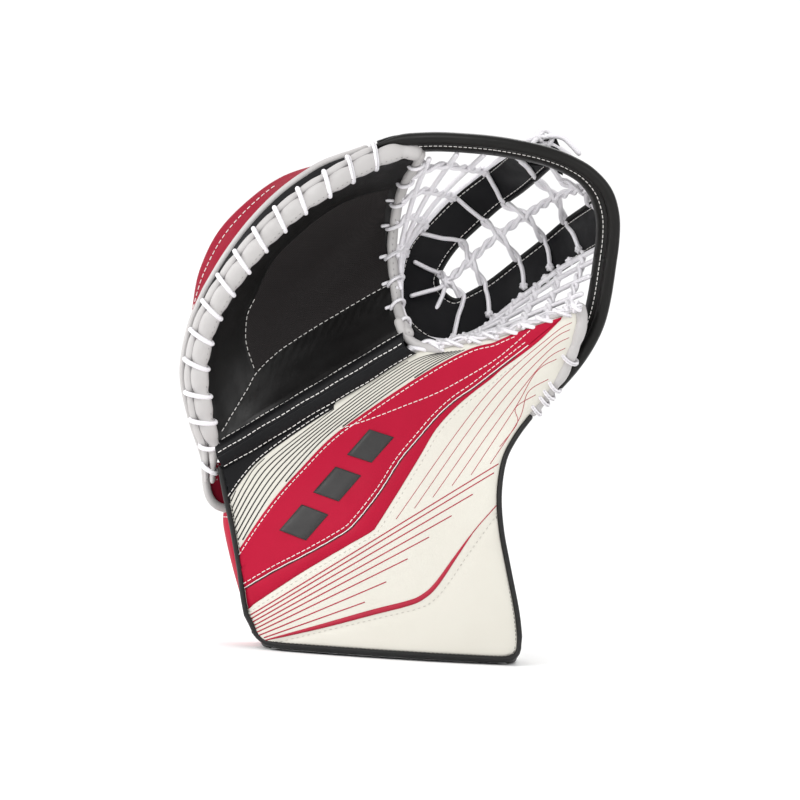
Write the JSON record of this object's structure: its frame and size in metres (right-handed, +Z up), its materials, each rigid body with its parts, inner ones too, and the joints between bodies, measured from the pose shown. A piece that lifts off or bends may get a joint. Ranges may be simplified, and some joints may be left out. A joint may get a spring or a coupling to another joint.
{
  "type": "goalie catch glove",
  "caption": "Ice hockey goalie catch glove: dished palm and padded fingers that fold on a laced break, U-shaped pocket spine in a rim with lace nets, broad cuff, and straps behind.",
  "frame": {"origin": "middle of the front lower edge of the cuff, on the plane that the glove stands on", "axes": "+X towards the thumb side, +Y towards the back of the hand with the catching side facing -Y, +Z up from the cuff to the fingertips"},
  "size_m": [0.3064, 0.1494, 0.3706],
  "materials": {
    "black_leather": "semi-matt grained leather",
    "cream_leather": "smooth semi-gloss leather with printed bands",
    "red_leather": "smooth semi-gloss leather",
    "black_binding": "rolled binding, matt",
    "white_binding": "rolled binding, smooth",
    "white_piping": "thin piping, smooth",
    "black_rim": "leather over a stiff core, satin",
    "white_lace": "braided lace",
    "foam": "closed-cell foam",
    "board": "moulded sheet",
    "lining": "brushed knit",
    "webbing": "woven webbing",
    "hook_and_loop": "hook-and-loop pile",
    "steel_wire": "bright plated wire"
  },
  "bodies": {
    "cuff": {"cuff_hem": "black_binding", "cuff_cover": "cream_leather", "cuff_board": "board", "cuff_foam": "foam", "cuff_liner": "lining", "cuff_binding_left": "black_binding", "cuff_binding_right": "black_binding", "cuff_wing_left": "red_leather", "cuff_wing_right": "cream_leather", "thumb_binding": "white_binding", "thumb_lace": "white_lace", "thumb_stall": "black_leather", "thumb_back_pad": "black_leather", "rim_lower": "black_rim", "wrist_strap": "webbing", "wrist_loop_patch": "hook_and_loop", "wrist_ring": "steel_wire", "wrist_ring_tab": "webbing"},
    "wrist_flap": {"wrist_flap": "webbing", "wrist_hook_patch": "hook_and_loop"},
    "tee": {"break_roll": "black_leather", "tee_spine": "black_leather", "tee_lining": "lining", "rim_top": "black_rim", "tee_lace": "white_lace", "net_window": "white_lace", "net_thumb_side": "white_lace"},
    "fingers": {"palm_leather": "black_leather", "palm_foam": "foam", "palm_liner": "lining", "palm_binding": "white_binding", "pad_binding": "white_binding", "pad_piping": "white_piping", "pocket_binding": "white_binding", "side_gusset": "black_leather", "perimeter_lace": "white_lace", "pad_foam": "foam", "pad_cover": "red_leather", "rim_upper": "black_rim", "net_finger_side": "white_lace", "stall_index": "black_leather", "stall_middle": "black_leather", "stall_ring": "black_leather", "stall_little": "black_leather", "hand_gusset": "black_leather", "hand_strap": "webbing", "hand_loop_patch": "hook_and_loop", "hand_ring": "steel_wire", "hand_ring_tab": "webbing"},
    "hand_flap": {"hand_flap": "webbing", "hand_hook_patch": "hook_and_loop"}
  },
  "joints": [
    {"name": "tee_fold", "type": "hinge", "parent": "cuff", "child": "tee", "pos_m": [-0.126, 0.024, 0.133], "axis": [0.8241, 0, 0.5664], "range_deg": [0, 42], "deforming": ["net_thumb_side"]},
    {"name": "finger_fold", "type": "hinge", "parent": "tee", "child": "fingers", "pos_m": [-0.126, 0.024, 0.133], "axis": [0.8241, 0, 0.5664], "range_deg": [0, 28], "deforming": ["net_finger_side"]},
    {"name": "wrist_flap_swing", "type": "hinge", "parent": "cuff", "child": "wrist_flap", "pos_m": [-0.076, 0.0855, 0.056], "axis": [0, 0, 1], "range_deg": [0, 140]},
    {"name": "hand_flap_swing", "type": "hinge", "parent": "fingers", "child": "hand_flap", "pos_m": [-0.07655, 0.1015, 0.16698], "axis": [-0.5664, 0, 0.8241], "range_deg": [0, 140]}
  ],
  "couplings": [
    {"joint": "tee_fold", "follows": "finger_fold", "ratio": 1.5}
  ]
}
